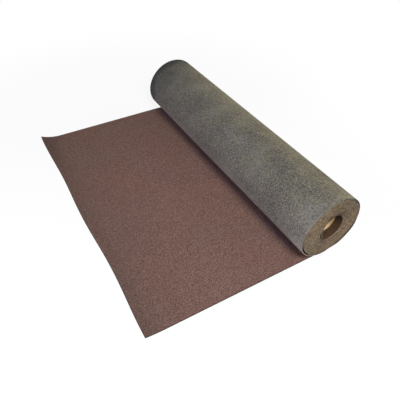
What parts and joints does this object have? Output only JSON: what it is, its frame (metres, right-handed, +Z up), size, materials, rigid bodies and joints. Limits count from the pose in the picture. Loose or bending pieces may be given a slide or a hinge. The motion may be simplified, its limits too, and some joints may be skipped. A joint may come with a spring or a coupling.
{
  "type": "roll of roofing felt",
  "caption": "Roll of mineral-surfaced bitumen roofing felt on a cardboard tube, lying on its side with its free end laid out flat.",
  "frame": {"origin": "on the floor, under the middle of the part's bounding box", "axes": "+Y along the roll's axis, -X towards the cut end of the laid felt, +Z up"},
  "size_m": [0.755, 1.005, 0.2344],
  "materials": {
    "felt": "mineral-surfaced bitumen, grey sanded back, red-brown granules on the face",
    "core_tube": "plain wound board"
  },
  "bodies": {
    "root": {"felt": "felt", "core_tube": "core_tube"}
  },
  "joints": []
}
